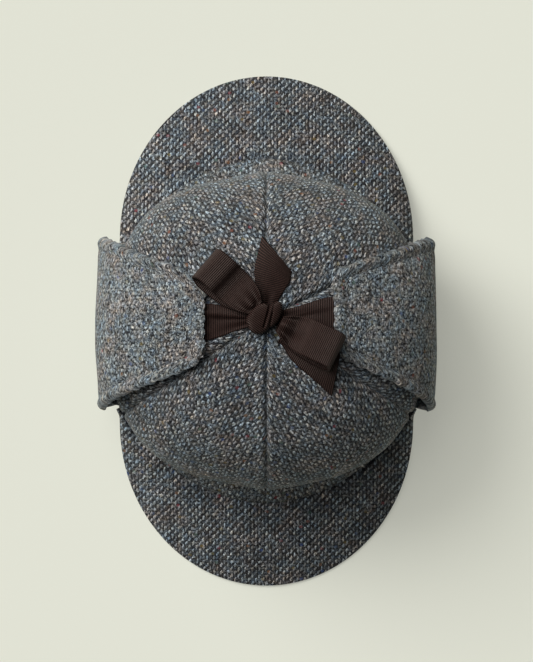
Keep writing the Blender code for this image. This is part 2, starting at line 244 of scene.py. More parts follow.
def grid_points(piece, across, along):
    """The piece's points by row and column of its grid."""
    return np.array([vert.co[:] for vert in piece.data.vertices]).reshape(along + 1, across + 1, 3)


def lay_cloth(piece, across, along, cloth_place):
    """The piece's UV map, in metres of cloth, which cloth_place works out from the grid's points."""
    u, v = cloth_place(grid_points(piece, across, along))
    spots = np.stack([u, v], axis=2).reshape(-1, 2)
    layer = piece.data.uv_layers["cloth"]
    for loop in piece.data.loops:
        layer.data[loop.index].uv = spots[loop.vertex_index]


def finish_cloth(piece, wall, offset, edge=0.0, merge=True):
    """Merges the grid's seams, gives it its thickness, and rounds its cut edges."""
    bpy.context.view_layer.objects.active = piece
    bpy.ops.object.mode_set(mode="EDIT")
    bpy.ops.mesh.select_all(action="SELECT")
    if merge:
        bpy.ops.mesh.remove_doubles(threshold=0.00002)
    bpy.ops.mesh.normals_make_consistent(inside=False)
    bpy.ops.object.mode_set(mode="OBJECT")
    solid = piece.modifiers.new("wall", "SOLIDIFY")
    solid.thickness = wall
    solid.offset = offset
    solid.use_even_offset = True
    solid.use_rim = True
    bpy.ops.object.modifier_apply(modifier=solid.name)
    if edge:
        bevel = piece.modifiers.new("edge", "BEVEL")
        bevel.width = edge
        bevel.segments = 3
        bevel.limit_method = "ANGLE"
        bevel.angle_limit = math.radians(50.0)
        bpy.ops.object.modifier_apply(modifier=bevel.name)
    piece.data.shade_smooth()
    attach(piece, "root")


def maths_node(tree, operation, *values, clamp=False):
    values = dict(enumerate(values))
    return add_node(tree, "ShaderNodeMath", values, operation=operation, use_clamp=clamp).outputs[0]


def spread_node(tree, value, low, high, to_low, to_high):
    """The value, stretched from one range to another."""
    ends = {"Value": value, "From Min": low, "From Max": high, "To Min": to_low, "To Max": to_high}
    return add_node(tree, "ShaderNodeMapRange", ends).outputs["Result"]


def tweed_group():
    """Coarse tweed: light floats of yarn in staggered columns, on a dark ground, with flecks of dyed wool."""
    group = bpy.data.node_groups.new("tweed", "ShaderNodeTree")
    group.interface.new_socket("Cloth", in_out="INPUT", socket_type="NodeSocketVector")
    for name in ("Lean", "Length", "Loose", "Uneven", "Fuzz", "Sheen_paint"):
        group.interface.new_socket(name, in_out="INPUT", socket_type="NodeSocketFloat")
    for name, kind in (("Colour", "NodeSocketColor"), ("Height", "NodeSocketFloat")):
        group.interface.new_socket(name, in_out="OUTPUT", socket_type=kind)
    given = group.nodes.new("NodeGroupInput").outputs
    # Half the way from column to column of floats, and from float to float in one, in metres
    half_column, half_float = 0.0022, 0.00255
    maths = partial(maths_node, group)
    spread = partial(spread_node, group)

    def vectors(operation, a, b):
        second = "Scale" if operation == "SCALE" else 1
        made = add_node(group, "ShaderNodeVectorMath", {0: a, second: b}, operation=operation)
        return made.outputs["Value" if operation == "DOT_PRODUCT" else "Vector"]

    def noise(vector, scale, detail=1.0):
        sizes = {"Vector": vector, "Scale": scale, "Detail": detail, "Roughness": 0.55}
        return add_node(group, "ShaderNodeTexNoise", sizes, noise_dimensions="2D").outputs

    def blend(kind, factor, a, b):
        mixed = {0: factor, 6: a, 7: b}
        return add_node(group, "ShaderNodeMix", mixed, data_type="RGBA", blend_type=kind).outputs[2]

    def ramp(factor, stops, interpolation="LINEAR"):
        made = add_node(group, "ShaderNodeValToRGB", {"Fac": factor})
        made.color_ramp.interpolation = interpolation
        while len(made.color_ramp.elements) < len(stops):
            made.color_ramp.elements.new(0.5)
        for element, (at, colour) in zip(made.color_ramp.elements, stops):
            element.position = at
            element.color = (*colour, 1.0)
        return made.outputs["Color"]

    # The cloth wanders a little, as handwoven cloth does
    wander = vectors("SUBTRACT", noise(given["Cloth"], 120.0, 3.0)["Color"], (0.5, 0.5, 0.5))
    wander = vectors("MULTIPLY", wander, (0.0052, 0.0052, 0.0))
    cloth = vectors("ADD", given["Cloth"], vectors("SCALE", wander, given["Loose"]))
    s = vectors("DOT_PRODUCT", cloth, (0.5 / half_column, 0.5 / half_float, 0.0))
    t = vectors("DOT_PRODUCT", cloth, (-0.5 / half_column, 0.5 / half_float, 0.0))
    lattice = add_node(group, "ShaderNodeCombineXYZ", {"X": s, "Y": t}).outputs["Vector"]

    # The floats lean a little this way and that, and yarn ends and loose fibres fray their outlines
    swing = maths("SUBTRACT", noise(given["Cloth"], 140.0, 1.0)["Fac"], 0.5)
    lean = maths("ADD", given["Lean"], maths("MULTIPLY", swing, 0.8))
    frayed = noise(vectors("MULTIPLY", given["Cloth"], (1.0, 0.6, 1.0)), 1050.0, 3.0)["Fac"]
    ragged = maths("MULTIPLY", maths("SUBTRACT", frayed, 0.5), 3.6)

    def floats(shift, half_width, half_length):
        at = vectors("ADD", lattice, (shift, shift, 0.0))
        cells = add_node(
            group,
            "ShaderNodeTexVoronoi",
            {"Vector": at, "Scale": 1.0, "Randomness": given["Uneven"]},
            voronoi_dimensions="2D",
        ).outputs
        local = vectors("SUBTRACT", at, cells["Position"])
        du = vectors("DOT_PRODUCT", local, (half_column, -half_column, 0.0))
        dv = vectors("DOT_PRODUCT", local, (half_float, half_float, 0.0))
        slanted = maths("ADD", du, maths("MULTIPLY", dv, lean))
        width = maths("POWER", maths("DIVIDE", slanted, half_width), 2.0)
        length = maths("POWER", maths("DIVIDE", dv, half_length), 2.0)
        away = maths("ADD", maths("ADD", width, length), ragged)
        mask = add_node(
            group,
            "ShaderNodeMapRange",
            {"Value": away, "From Min": 1.15, "From Max": 0.35},
            interpolation_type="SMOOTHSTEP",
        )
        return mask.outputs["Result"], away, cells["Color"]

    over, over_away, over_yarn = floats(0.0, 0.00084, given["Length"])
    under, under_away, under_yarn = floats(0.5, 0.00150, 0.00112)

    over_pick = add_node(group, "ShaderNodeSeparateColor", {"Color": over_yarn}).outputs
    under_pick = add_node(group, "ShaderNodeSeparateColor", {"Color": under_yarn}).outputs
    light_yarn = ramp(
        over_pick["Red"],
        (
            (0.00, (0.200, 0.208, 0.220)),
            (0.18, (0.275, 0.268, 0.258)),
            (0.45, (0.350, 0.366, 0.374)),
            (0.80, (0.450, 0.464, 0.462)),
            (1.00, (0.600, 0.610, 0.590)),
        ),
    )
    dark_yarn = ramp(
        under_pick["Green"],
        (
            (0.00, (0.022, 0.021, 0.024)),
            (0.30, (0.066, 0.058, 0.053)),
            (0.55, (0.056, 0.065, 0.078)),
            (0.80, (0.112, 0.117, 0.123)),
            (1.00, (0.215, 0.222, 0.222)),
        ),
    )
    ground = blend("MIX", under, (0.013, 0.013, 0.015, 1.0), dark_yarn)
    colour = blend("MIX", over, ground, light_yarn)

    # Pale wool fibres curl over the cloth, and painted sheen pales the weave where the piece asks for it
    hairs = 0.0
    for scale, shift in ((360.0, 0.37), (610.0, 5.21)):
        path = noise(vectors("ADD", given["Cloth"], (shift, shift, 0.0)), scale, 2.0)["Fac"]
        line = maths("MULTIPLY", maths("ABSOLUTE", maths("SUBTRACT", path, 0.5)), -14.0)
        gaps = noise(vectors("ADD", given["Cloth"], (0.0, shift, 0.0)), 0.6 * scale)["Fac"]
        shown = maths("MULTIPLY", maths("SUBTRACT", gaps, 0.33), 6.0, clamp=True)
        hairs = maths("MAXIMUM", hairs, maths("MULTIPLY", maths("ADD", line, 1.0, clamp=True), shown))
    colour = blend("MIX", maths("MULTIPLY", hairs, given["Fuzz"]), colour, (0.60, 0.62, 0.60, 1.0))
    # Painted sheen: a pale grey for the light that wool fuzz catches at a grazing angle
    colour = blend("MIX", given["Sheen_paint"], colour, (0.38, 0.395, 0.385, 1.0))

    # Loose wool fibres lie along and over the floats
    stretched = vectors("MULTIPLY", given["Cloth"], (1.0, 0.5, 1.0))
    fibres = noise(stretched, 1500.0, 2.0)["Fac"]
    colour = blend("MULTIPLY", 1.0, colour, spread(fibres, 0.36, 0.64, 0.48, 1.55))
    warmth = maths("SUBTRACT", noise(given["Cloth"], 300.0, 2.0)["Fac"], 0.5)
    reddish = maths("MULTIPLY_ADD", warmth, 0.45, 0.98)
    bluish = maths("MULTIPLY_ADD", warmth, -0.55, 1.035)
    hues = add_node(group, "ShaderNodeCombineXYZ", {"X": reddish, "Y": 1.0, "Z": bluish}).outputs["Vector"]
    colour = blend("MULTIPLY", 1.0, colour, hues)

    # Small knots of dyed wool, in one cell out of a few
    specks = add_node(
        group,
        "ShaderNodeTexVoronoi",
        {"Vector": given["Cloth"], "Scale": 155.0, "Randomness": 1.0},
        voronoi_dimensions="2D",
    ).outputs
    speck_pick = add_node(group, "ShaderNodeSeparateColor", {"Color": specks["Color"]}).outputs
    chosen = maths("GREATER_THAN", speck_pick["Blue"], 0.80)
    near = maths("LESS_THAN", specks["Distance"], 0.17)
    dye = ramp(
        speck_pick["Red"],
        (
            (0.00, (0.26, 0.20, 0.07)),
            (0.24, (0.07, 0.12, 0.24)),
            (0.42, (0.30, 0.10, 0.06)),
            (0.56, (0.10, 0.17, 0.13)),
            (0.70, (0.33, 0.16, 0.07)),
            (0.82, (0.30, 0.03, 0.04)),
            (0.90, (0.05, 0.10, 0.32)),
        ),
        "CONSTANT",
    )
    speck = maths("MULTIPLY", maths("MULTIPLY", chosen, near), 0.45)
    colour = blend("MIX", speck, colour, dye)

    # Slow changes of hue and tone
    slow_noise = noise(given["Cloth"], 70.0, 1.0)["Color"]
    dyed = add_node(group, "ShaderNodeSeparateColor", {"Color": slow_noise}).outputs
    tint = ramp(
        dyed["Green"],
        (
            (0.32, (0.90, 1.00, 1.08)),
            (0.45, (0.97, 1.01, 1.02)),
            (0.56, (1.02, 1.00, 1.00)),
            (0.70, (1.10, 0.99, 0.94)),
        ),
    )
    colour = blend("MULTIPLY", 1.0, colour, tint)
    tone = spread(noise(given["Cloth"], 60.0, 3.0)["Fac"], 0.25, 0.75, 0.78, 1.2)
    colour = blend("MULTIPLY", 1.0, colour, tone)

    raised = maths("MAXIMUM", maths("SUBTRACT", 1.0, over_away), maths("SUBTRACT", 0.35, under_away))
    raised = maths("MAXIMUM", raised, -0.4)
    height = maths("ADD", raised, maths("MULTIPLY", fibres, 0.7))
    height = maths("ADD", height, maths("MULTIPLY", hairs, maths("MULTIPLY", given["Fuzz"], 0.5)))
    result = add_node(group, "NodeGroupOutput")
    group.links.new(colour, result.inputs["Colour"])
    group.links.new(height, result.inputs["Height"])
    return group


TWEED = tweed_group()


def tweed_material(name, lean, length, loose, uneven, fuzz, painted_sheen_share=None):
    """Tweed for one piece. The last argument names the attribute that says where painted sheen pales it."""
    material, tree, shader = plain_material(name)
    cloth = add_node(tree, "ShaderNodeUVMap", uv_map="cloth").outputs["UV"]
    weave = add_node(tree, "ShaderNodeGroup", node_tree=TWEED)
    tree.links.new(cloth, weave.inputs["Cloth"])
    set_as = {"Lean": lean, "Length": length, "Loose": loose, "Uneven": uneven, "Fuzz": fuzz}
    for socket, value in set_as.items():
        weave.inputs[socket].default_value = value
    # The attribute says how much painted sheen pales the cloth
    if painted_sheen_share:
        sheen_amount = add_node(tree, "ShaderNodeAttribute", attribute_name=painted_sheen_share).outputs["Fac"]
        tree.links.new(sheen_amount, weave.inputs["Sheen_paint"])
    bumps = {"Height": weave.outputs["Height"], "Distance": 0.0010, "Strength": 0.7}
    relief = add_node(tree, "ShaderNodeBump", bumps)
    tree.links.new(weave.outputs["Colour"], shader.inputs["Base Color"])
    tree.links.new(relief.outputs["Normal"], shader.inputs["Normal"])
    shader.inputs["Roughness"].default_value = 0.95
    shader.inputs["Specular IOR Level"].default_value = 0.15
    shader.inputs["Sheen Weight"].default_value = 0.12
    shader.inputs["Sheen Roughness"].default_value = 0.28
    shader.inputs["Sheen Tint"].default_value = (0.80, 0.79, 0.74, 1.0)
    return material


CROWN_ACROSS, CROWN_ALONG, SIDE_ROWS = 216, 74, 8


def crown_place(across, along):
    """Upright rows up to the widest part, then rows that close in on where the seams meet."""
    gore = min(int(across * GORES), GORES - 1)
    within = 2 * (across * GORES - gore) - 1
    angle = GORE * (gore + 0.5 + 0.5 * math.sin(math.pi / 2 * within))
    row = along * CROWN_ALONG
    if row <= SIDE_ROWS:
        share = WIDEST * row / SIDE_ROWS
        radius = rim_radius(angle) * curve_through(CROWN_ROWS, 1, share)
        x, y = radius * math.sin(angle), -radius * math.cos(angle)
        point = Vector((x, y, CROWN_BOTTOM + CROWN_HEIGHT * share))
        out = 1.0
    else:
        turn = math.pi / 2 * (row - SIDE_ROWS) / (CROWN_ALONG - SIDE_ROWS)
        out = math.cos(turn)
        x = SEAMS_MEET[0] * (1 - out) + rim_radius(angle) * math.sin(angle) * out
        y = SEAMS_MEET[1] * (1 - out) - rim_radius(angle) * math.cos(angle) * out
        point = Vector((x, y, crown_z(x, y)))
    middle = Vector((0.0, 0.0, CROWN_BOTTOM + 0.25 * CROWN_HEIGHT))
    inwards = (middle - point).normalized()
    half_gore = GORE / 2 * out * rim_radius(angle)
    away = (1 - abs(math.sin(math.pi / 2 * within))) * half_gore
    dip = SEAM_DEPTH * bell(away, SEAM_HALF_WIDTH)
    ridge = RIDGE_HEIGHT * bell(away - RIDGE_AWAY, RIDGE_HALF_WIDTH)
    near_top = smooth_step(half_gore / 0.012)
    puff = PUFF_HEIGHT * math.cos(math.pi / 2 * within) ** 2
    lumps = LUMP_HEIGHT * math.sin(47 * point.x + 31 * point.y + 2.0)
    lumps *= math.sin(38 * point.y - 52 * point.z + 11 * point.x)
    from_front = math.degrees(math.atan2(point.x, -point.y))
    crush = smooth_step((from_front - VALLEY_DEGREES[0]) / VALLEY_FADES[0])
    crush *= smooth_step((VALLEY_DEGREES[1] - from_front) / VALLEY_FADES[1])
    valley = VALLEY_DEPTH * crush * bell(out - VALLEY_AT, VALLEY_HALF_WIDTH) if row > SIDE_ROWS else 0.0
    return point + inwards * ((dip - ridge - puff + lumps) * near_top + valley)


def lay_gores(piece):
    """As lay_cloth, but each face takes its own gore's coordinates, so that the weave breaks at the seams."""
    points = grid_points(piece, CROWN_ACROSS, CROWN_ALONG)
    ran, up = run_lengths(points, 1), run_lengths(points, 0)
    per_gore = CROWN_ACROSS // GORES
    layer = piece.data.uv_layers["cloth"]
    for face in piece.data.polygons:
        corners = [divmod(piece.data.loops[k].vertex_index, CROWN_ACROSS + 1) for k in face.loop_indices]
        gore = min(column for _, column in corners) // per_gore
        middle = gore * per_gore + per_gore // 2
        for k, (row, column) in zip(face.loop_indices, corners):
            u = ran[row, column] - ran[row, middle] + CUT_APART[0] * gore
            layer.data[k].uv = (u, up[row, middle] + CUT_APART[1] * gore)


def mark_painted_sheen(piece, across, sheen_share_at):
    """How much painted sheen pales each point. The function given takes its row and its column in the grid.
    """
    painted_sheen_share = piece.data.attributes.new("painted_sheen_share", "FLOAT", "POINT")
    for k in range(len(piece.data.vertices)):
        painted_sheen_share.data[k].value = sheen_share_at(*divmod(k, across + 1))


def crown_sheen_share(row, column):
    """Painted sheen all round its shoulder, where the wool's fuzz catches grazing light."""
    return 0.22 * bell(row - 13, 7.0)


crown = cloth_grid("tweed_crown", CROWN_ACROSS, CROWN_ALONG, crown_place)
lay_gores(crown)
mark_painted_sheen(crown, CROWN_ACROSS, crown_sheen_share)
finish_cloth(crown, CROWN_WALL, -1.0)
crown.data.materials.append(tweed_material("crown_tweed", 0.0, 0.0016, 0.32, 0.34, 0.20, painted_sheen_share="painted_sheen_share"))
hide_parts("crown")

# Band: a strip of the same tweed between the crown and the peaks. It is sewn to the crown's rim at its top
# and to the peaks at its hem, and flares out on its way down.
HEM_HEIGHT, BAND_HEIGHT, BAND_HOLLOW = 0.026, 0.020, 0.0012
HEM_LENGTH, HEM_WIDTH = 0.217, 0.1952
BAND_ACROSS, BAND_ALONG, BAND_PICKS = 180, 8, 0.75


def band_place(across, along):
    angle = 2 * math.pi * across
    down = 1 - along
    top = rim_radius(angle) * CROWN_ROWS[0][1]
    hem = outline_radius(angle, HEM_LENGTH, HEM_WIDTH, 2)
    radius = mix(top, hem, down) - BAND_HOLLOW * math.sin(math.pi * down)
    return Vector((radius * math.sin(angle), -radius * math.cos(angle), HEM_HEIGHT + BAND_HEIGHT * along))


def band_cloth(points):
    """One row's run serves all rows, so that the weave stands straight up the band."""
    middle_row = [BAND_ALONG // 2] * (BAND_ALONG + 1)
    return run_lengths(points, 1)[middle_row], BAND_PICKS * run_lengths(points, 0)


band = cloth_grid("tweed_band", BAND_ACROSS, BAND_ALONG, band_place)
lay_cloth(band, BAND_ACROSS, BAND_ALONG, band_cloth)
finish_cloth(band, CROWN_WALL, -1.0)
band.data.materials.append(tweed_material("band_tweed", 0.0, 0.0016, 0.5, 0.3, 0.3))
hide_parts("band")

# Peaks: a crescent of tweed over a stiffener, front and back, turned in all round its edge and sewn under the
# hem. The tips rest on the table top.
PEAK_HALF_WIDTH, PEAK_DEPTH, PEAK_TIP = 0.0915, 0.100, 0.1620
PEAK_TUCK, PEAK_ARCH, PEAK_PRESS = 0.004, 0.0022, 0.0010
PEAK_THICKNESS, SEAM_GAP = 0.003, 0.0003
PEAK_END_DEGREES = 62.5
PEAK_ACROSS, PEAK_ALONG, PEAK_PICKS = 96, 30, 1.08
PEAK_EDGE_ROWS = (
    # degrees from the front, height of the outer edge as a share of the hem's height
    (0, 0.00),
    (22, 0.00),
    (30, 0.06),
    (40, 0.22),
    (50, 0.45),
    (58, 0.68),
    (62.5, 0.80),
)


def peak_reach(angle):
    """Plan radius of a peak's outer edge: half an ellipse, then straight to the hem."""
    centre = PEAK_TIP - PEAK_DEPTH
    beside = PEAK_HALF_WIDTH / max(math.sin(angle), 1e-9)
    if beside * math.cos(angle) < centre:
        return beside
    turned = math.cos(angle) ** 2 / PEAK_DEPTH**2 + math.sin(angle) ** 2 / PEAK_HALF_WIDTH**2
    shifted = centre * math.cos(angle) / PEAK_DEPTH**2
    return (shifted + math.sqrt(shifted**2 - turned * ((centre / PEAK_DEPTH) ** 2 - 1))) / turned


def peak_place(front):
    def place(across, along):
        u = 2 * across - 1
        degrees = abs(u) * PEAK_END_DEGREES
        angle = math.radians(degrees)
        hem = outline_radius(angle, HEM_LENGTH, HEM_WIDTH, 2)
        seam_z = HEM_HEIGHT - SEAM_GAP - PEAK_THICKNESS / 2
        edge_lift = PEAK_THICKNESS / 2 - PEAK_PRESS
        edge_z = edge_lift + curve_through(PEAK_EDGE_ROWS, 1, degrees) * (seam_z - edge_lift)
        tuck_share = 0.1
        if along <= tuck_share:
            radius = mix(hem - PEAK_TUCK, hem + CROWN_WALL / 2, along / tuck_share)
            z = seam_z
        else:
            out = (along - tuck_share) / (1 - tuck_share)
            radius = mix(hem + CROWN_WALL / 2, max(peak_reach(angle), hem + CROWN_WALL), out)
            z = mix(seam_z, edge_z, out) + PEAK_ARCH * math.sin(math.pi * out) * math.cos(angle)
        x, y = math.copysign(radius * math.sin(angle), u), -radius * math.cos(angle)
        return Vector((x, y, z)) if front else Vector((-x, -y, z))

    return place


for name, front in (("front_peak", True), ("back_peak", False)):
    peak = cloth_grid("tweed_" + name, PEAK_ACROSS, PEAK_ALONG, peak_place(front))
    apart = 3.3 if front else 4.7
    lay_cloth(peak, PEAK_ACROSS, PEAK_ALONG, lambda p: (p[:, :, 0] + apart, p[:, :, 1] * PEAK_PICKS))
    finish_cloth(peak, PEAK_THICKNESS, 0.0, edge=0.0012, merge=False)
    for vert in peak.data.vertices:
        vert.co.z = max(vert.co.z, 0.0)
    peak.data.materials.append(tweed_material(name + "_tweed", -0.22, 0.0017, 0.10, 0.12, 0.10))
    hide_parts(name)

# Ear flaps: two layers of tweed sewn face to face and turned out, so their edges are thick and soft. Each is
# sewn to the band, rolled up round its fold, and laid over the crown, with its corners standing away from it.
FLAP_WIDTH, FLAP_THICKNESS, FLAP_GAP = 0.1068, 0.003, 0.0019
FLAP_FOLD_REACH, FLAP_CORNER, FLAP_CORNER_SHARE = 0.1032, 0.0036, 0.075
FLAP_RUN, FLAP_FLAT = 0.105, (0.107, 0.134)
HEM_ROLL, HEM_ROLL_AT, HEM_ROLL_HALF_WIDTH = 0.0011, 0.0022, 0.0022
STITCH_DIP, STITCH_AT, STITCH_HALF_WIDTH = 0.0007, 0.0068, 0.0018
PUCKER_HEIGHT, PUCKER_SLIDE, PUCKER_REACH, FLAP_LUMP_HEIGHT = 0.00035, 0.0004, 0.005, 0.0006
FLAP_ROOT_HEIGHT, FLAP_ROLL_DROP, FLAP_PIVOT_HEIGHT = 0.034, 0.003, 0.050
FLAP_LOW_DEGREES = -9.0
FLAP_ACROSS, FLAP_ALONG, FLAP_ROLL_SHARE = 76, 84, 0.22
FLAP_ROWS = (
    # share of the way from the roll to the tip, width share, how far it has come to lie on the crown
    (0.000, 0.950, 0.00),
    (0.045, 0.962, 0.01),
    (0.100, 0.972, 0.04),
    (0.200, 0.972, 0.10),
    (0.340, 0.930, 0.42),
    (0.470, 0.865, 0.72),
    (0.600, 0.775, 0.91),
    (0.750, 0.660, 0.99),
    (0.880, 0.555, 1.00),
    (0.950, 0.480, 1.00),
    (0.985, 0.400, 1.00),
    (1.000, 0.310, 1.00),
)
FLAP_LIES = {
    # flap: side, degrees up to its tip, how far towards the back its tip and its sewn edge are
    "right_ear_flap": (-1, 66.2, 0.0062, 0.0044),
    "left_ear_flap": (1, 64.2, 0.0108, 0.0024),
}


def crown_radius(angle, z):
    """Radius of the outer face of the crown and band at an angle from the front and a height."""
    if z >= CROWN_BOTTOM:
        return rim_radius(angle) * curve_through(CROWN_ROWS, 1, (z - CROWN_BOTTOM) / CROWN_HEIGHT)
    hem = outline_radius(angle, HEM_LENGTH, HEM_WIDTH, 2)
    down = (CROWN_BOTTOM - z) / BAND_HEIGHT
    return mix(rim_radius(angle) * CROWN_ROWS[0][1], hem, down) - BAND_HOLLOW * math.sin(math.pi * down)


def first_outside(point_at, near, far):
    """The distance between near and far at which point_at leaves the crown."""
    for _ in range(26):
        middle = (near + far) / 2
        x, y, z = point_at(middle)
        if z < CROWN_BOTTOM + CROWN_HEIGHT and math.hypot(x, y) < crown_radius(math.atan2(x, -y), z):
            near = middle
        else:
            far = middle
    return far


def flap_place(side, tip_degrees, tip_shift, root_shift):
    def laid(u, along):
        """A point of the flap's middle layer, from the fold to the tip."""
        half_width = FLAP_WIDTH / 2 * curve_through(FLAP_ROWS, 1, along)
        y = mix(root_shift, tip_shift, along) + u * half_width
        lift = math.radians(mix(FLAP_LOW_DEGREES, tip_degrees, along))
        out = (math.cos(lift), math.sin(lift))
        reach = first_outside(lambda d: (d * out[0], y, FLAP_PIVOT_HEIGHT + d * out[1]), 0.0, 0.4)
        lies_on = reach + FLAP_GAP + FLAP_THICKNESS / 2
        into_corner = max(0.0, (abs(u) - 1 + FLAP_CORNER_SHARE) / FLAP_CORNER_SHARE)
        fold = FLAP_FOLD_REACH - FLAP_CORNER * (1 - math.sqrt(max(0.0, 1 - into_corner**2)))
        stands_off = max(fold / out[0], lies_on)
        distance = mix(stands_off, lies_on, curve_through(FLAP_ROWS, 2, along))
        return Vector((side * distance * out[0], y, FLAP_PIVOT_HEIGHT + distance * out[1]))

    def place(across, along):
        u = 2 * across - 1
        u = mix(u, math.sin(math.pi / 2 * u), 0.4)
        if along >= FLAP_ROLL_SHARE:
            out = (along - FLAP_ROLL_SHARE) / (1 - FLAP_ROLL_SHARE)
            out = mix(out, math.sin(math.pi / 2 * out), 0.4)
            point = laid(u, out)
            half_width = FLAP_WIDTH / 2 * curve_through(FLAP_ROWS, 1, out)
            from_side, from_tip = (1 - abs(u)) * half_width, (1 - out) * FLAP_RUN
            from_edge = min(from_side, from_tip)
            hem = HEM_ROLL * bell(from_edge - HEM_ROLL_AT, HEM_ROLL_HALF_WIDTH)
            hem -= STITCH_DIP * bell(from_edge - STITCH_AT, STITCH_HALF_WIDTH)
            run = out * FLAP_RUN if from_side < from_tip else u * half_width
            pucker = math.sin(run * 830 + 1.3) + 0.7 * math.sin(run * 1370 + 4 * u)
            pucker *= bell(from_edge, PUCKER_REACH)
            lumps = math.sin(61 * point.y + 47 * point.z + 1.0) * math.sin(83 * point.x - 29 * point.y)
            up = math.radians(mix(8.0, 84.0, out))
            laid_share = smooth_step((out - 0.06) / 0.24)
            raised = (hem + PUCKER_HEIGHT * pucker + FLAP_LUMP_HEIGHT * lumps) * laid_share
            slid = PUCKER_SLIDE * pucker * laid_share
            outwards = raised * math.cos(up) - slid * math.sin(up) * out
            return point + Vector((side * outwards, slid * u, raised * math.sin(up)))
        turn = along / FLAP_ROLL_SHARE
        fold = laid(u, 0.0)
        reach = first_outside(lambda d: (d, fold.y, FLAP_ROOT_HEIGHT), 0.0, 0.2)
        root_x = reach + SEAM_GAP + FLAP_THICKNESS / 2
        x = mix(root_x, abs(fold.x), (1 - math.cos(math.pi * turn)) / 2)
        z = mix(FLAP_ROOT_HEIGHT, fold.z, turn) - FLAP_ROLL_DROP * math.sin(math.pi * turn)
        return Vector((side * x, fold.y, z))

    return place


def flap_sheen_share(row, column):
    """Painted sheen along its edges, and most round its fold, where the wool's fuzz catches grazing light."""
    from_edge = min(column, FLAP_ACROSS - column, FLAP_ALONG - row)
    return 0.02 + 0.2 * max(0.0, 1 - from_edge / 3.0) + 0.5 * bell(row - 16, 9.0)


for name, lie in FLAP_LIES.items():
    flap = cloth_grid("tweed_" + name, FLAP_ACROSS, FLAP_ALONG, flap_place(*lie))
    apart = 6.1 + lie[0]
    lay_cloth(flap, FLAP_ACROSS, FLAP_ALONG, lambda p: (run_lengths(p, 0) + apart, p[:, :, 1]))
    mark_painted_sheen(flap, FLAP_ACROSS, flap_sheen_share)
    finish_cloth(flap, FLAP_THICKNESS, 0.0, edge=0.0012, merge=False)
    flap.data.materials.append(tweed_material(name + "_tweed", 0.0, 0.00115, 0.6, 0.5, 0.62, painted_sheen_share="painted_sheen_share"))
    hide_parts(name)

# Ties: dark brown grosgrain ribbon, 22 mm wide, as is the whole bow. One is sewn under each flap's tip, and
# the two run over the crown to the knot, which gathers them.
RIBBON_WIDTH, RIBBON_THICKNESS, RIBBON_LIE = 0.022, 0.001, 0.0004
GATHERED_WIDTH, TIE_TUCK = 0.009, 0.008
RIB_PITCH, THREAD_PITCH = 0.00110, 0.00092
KNOT_CENTRE = SEAMS_MEET
KNOT_SIZE = (0.0165, 0.0190, 0.0100)
KNOT_CLEAR = 0.00072
KNOT_BASE = CROWN_BOTTOM + CROWN_HEIGHT + KNOT_CLEAR
KNOT_MIDDLE = KNOT_BASE + KNOT_SIZE[2] / 2


def grosgrain_material(name):
    """Ribs across the ribbon, crossed by finer threads along it, bumped and also painted: painted light on
    the ribs' crests, painted shade in their grooves.
    """
    material, tree, shader = plain_material(name)
    cloth = add_node(tree, "ShaderNodeUVMap", uv_map="cloth").outputs["UV"]
    across_along = add_node(tree, "ShaderNodeSeparateXYZ", {"Vector": cloth}).outputs
    maths = partial(maths_node, tree)
    spread = partial(spread_node, tree)
    # The ribs and threads stripe the colour in step with the bump: painted light on the crests, painted shade
    # in the grooves
    rib = maths("SINE", maths("MULTIPLY", across_along["Y"], 2 * math.pi / RIB_PITCH))
    threads = maths("SINE", maths("MULTIPLY", across_along["X"], 2 * math.pi / THREAD_PITCH))
    painted_rib_shade = spread(maths("MULTIPLY_ADD", threads, 0.30, rib), -0.7, 0.7, 0.0, 2.1)
    slow = add_node(tree, "ShaderNodeTexNoise", {"Vector": cloth, "Scale": 220.0, "Detail": 2.0})
    both = maths("MULTIPLY", painted_rib_shade, spread(slow.outputs["Fac"], 0.3, 0.7, 0.86, 1.14))
    dyed = {0: 1.0, 6: (0.0240, 0.0130, 0.0110, 1.0), 7: both}
    brown = add_node(tree, "ShaderNodeMix", dyed, data_type="RGBA", blend_type="MULTIPLY")
    tree.links.new(brown.outputs[2], shader.inputs["Base Color"])
    relief = add_node(tree, "ShaderNodeBump", {"Height": rib, "Distance": 0.00022, "Strength": 0.8})
    tree.links.new(relief.outputs["Normal"], shader.inputs["Normal"])
    shader.inputs["Roughness"].default_value = 0.48
    shader.inputs["Specular IOR Level"].default_value = 0.24
    shader.inputs["Specular Tint"].default_value = (1.0, 0.82, 0.74, 1.0)
    return material


GROSGRAIN = grosgrain_material("grosgrain")


def finish_ribbon(piece, node, across, along):
    """Lays ribs square across the ribbon by its middle line, thickens it, gives it the grosgrain, and hides
    its part.
    """
    middle_line = run_lengths(grid_points(piece, across, along), 0)[:, across // 2 : across // 2 + 1]
    lay_cloth(piece, across, along, lambda p: (run_lengths(p, 1), np.repeat(middle_line, across + 1, axis=1)))
    finish_cloth(piece, RIBBON_THICKNESS * 0.8, 0.0, merge=False)
    piece.data.materials.append(GROSGRAIN)
    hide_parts(node)


def on_crown(x, y):
    """Height of a ribbon's middle layer where it lies on the crown."""
    return crown_z(x, y) + RIBBON_LIE + RIBBON_THICKNESS / 2


TIE_ACROSS, TIE_ALONG = 20, 60
TIE_PLEAT, TIE_FOLD = 0.0009, 0.0021


def tie_place(side, start, end):
    def place(across, along):
        half_width = mix(RIBBON_WIDTH, GATHERED_WIDTH, smooth_step((along - 0.15) / 0.85)) / 2
        x = mix(start.x, end.x, along)
        y = mix(start.y, end.y, smooth_step(along)) + (2 * across - 1) * half_width
        gathered = smooth_step((along - 0.2) / 0.6)
        pleat = TIE_PLEAT * gathered * (0.5 + 0.5 * math.cos(2 * math.pi * (2.0 * across + 0.2)))
        beyond = across - mix(0.80, 0.55, along)
        fold = TIE_FOLD * bell(beyond, 0.07 if beyond < 0 else 0.22) * smooth_step(along * 6)
        return Vector((x, y, on_crown(x, y) + pleat + (fold if side < 0 else 0.6 * fold * along)))

    return place


